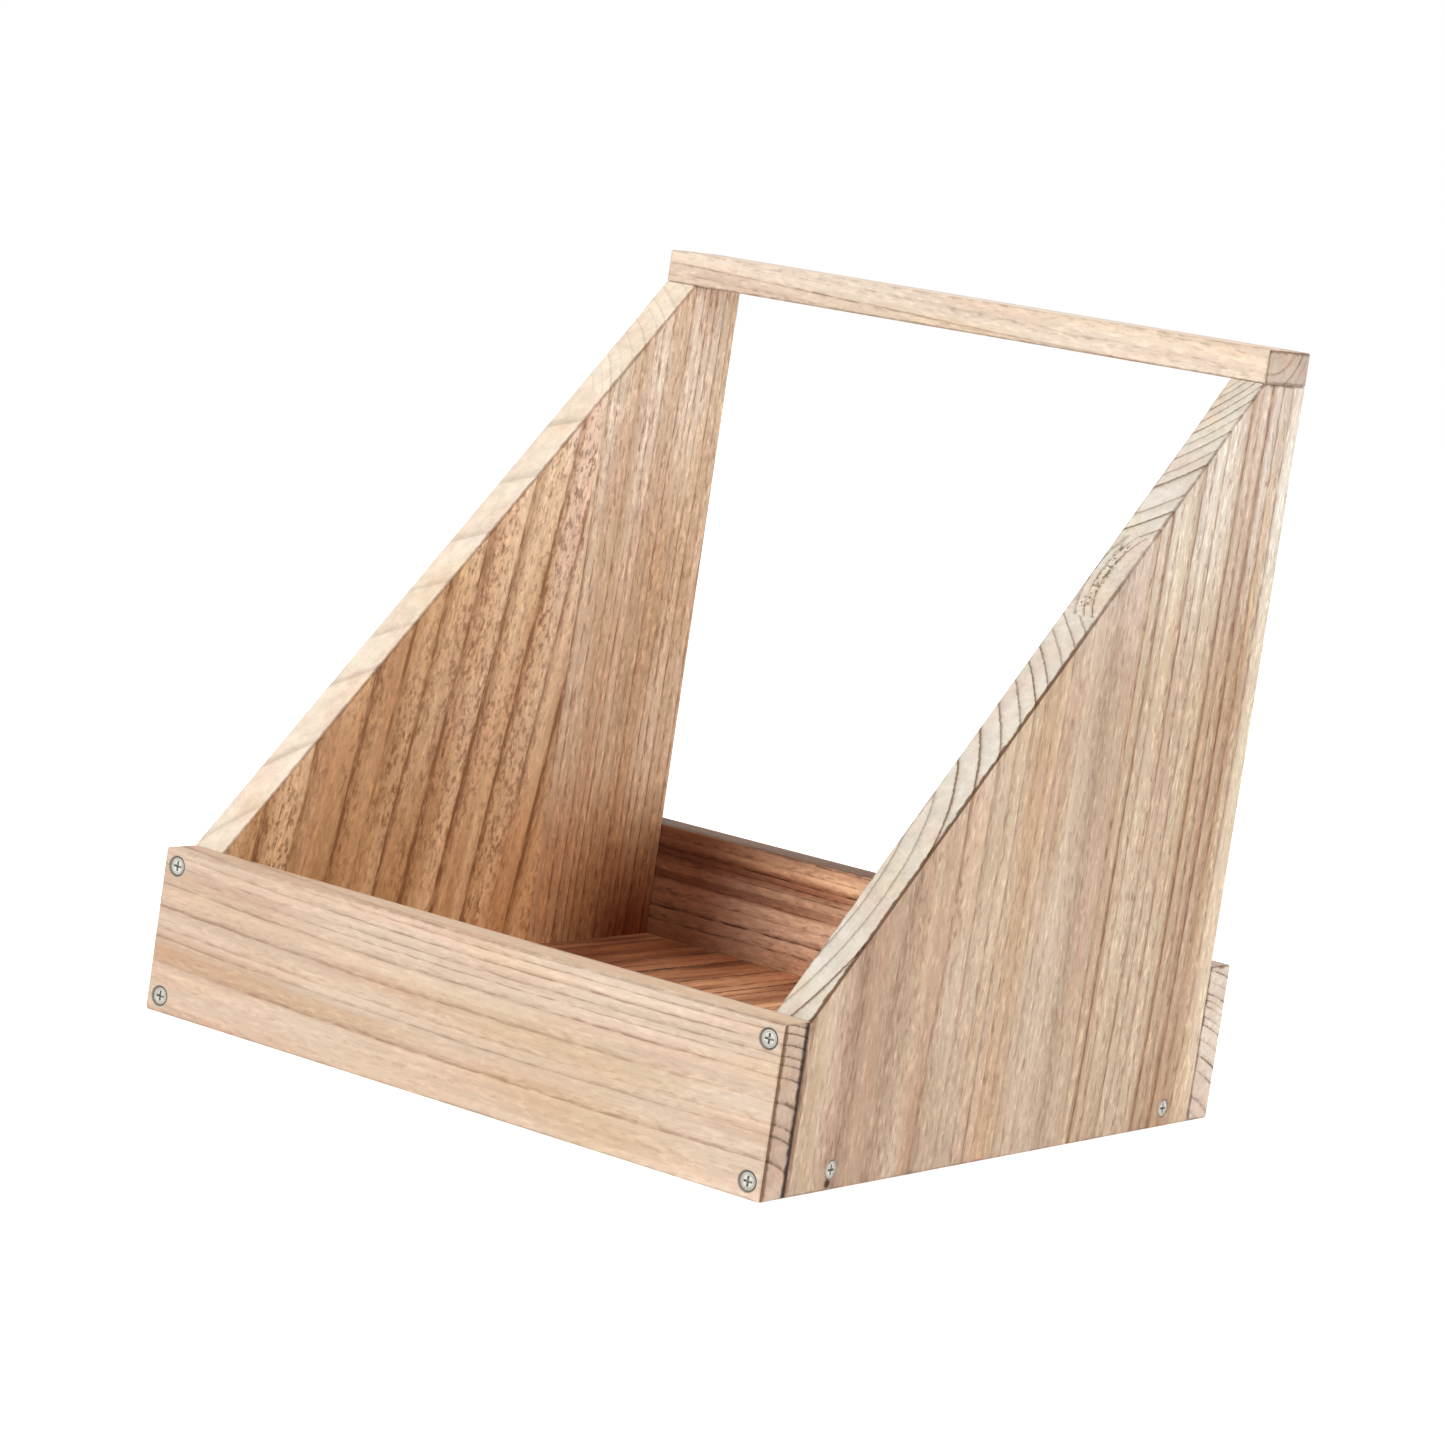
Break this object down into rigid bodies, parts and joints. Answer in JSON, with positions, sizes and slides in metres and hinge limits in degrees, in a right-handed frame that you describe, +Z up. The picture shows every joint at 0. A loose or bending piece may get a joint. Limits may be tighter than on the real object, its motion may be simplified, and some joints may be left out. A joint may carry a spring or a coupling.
{
  "type": "magazine rack",
  "caption": "Open wooden magazine rack: a shallow tray between tall sloping side panels, with a flat handle rail across their tops.",
  "frame": {"origin": "middle of the footprint, on the surface that the rack stands on", "axes": "+X to the rack's right as seen from the front, -Y the low front, +Z up"},
  "size_m": [0.3, 0.322, 0.319],
  "materials": {
    "board_wood": "pale pinkish-tan softwood-like hardwood with fine straight brown grain, oiled matt, arrises lightly browned",
    "side_wood": "pale grey-tan edge-glued wood, upright grain, matt; sloping end grain cream with brown rings",
    "floor_wood": "warm brown edge-glued wood with dark lines, grain from front to back, matt",
    "rail_wood": "pale cream-pink straight-grained wood, matt",
    "screw_steel": "bright zinc-plated steel, satin"
  },
  "bodies": {
    "root": {"front_board": "board_wood", "back_board": "board_wood", "left_front_stave": "side_wood", "left_middle_stave": "side_wood", "left_back_stave": "side_wood", "right_front_stave": "side_wood", "right_middle_stave": "side_wood", "right_back_stave": "side_wood", "floor_left_stave": "floor_wood", "floor_middle_stave": "floor_wood", "floor_right_stave": "floor_wood", "handle_rail": "rail_wood", "front_board_screws": "screw_steel", "back_board_screws": "screw_steel", "left_side_screws": "screw_steel", "right_side_screws": "screw_steel", "rail_screws": "screw_steel"}
  },
  "joints": []
}
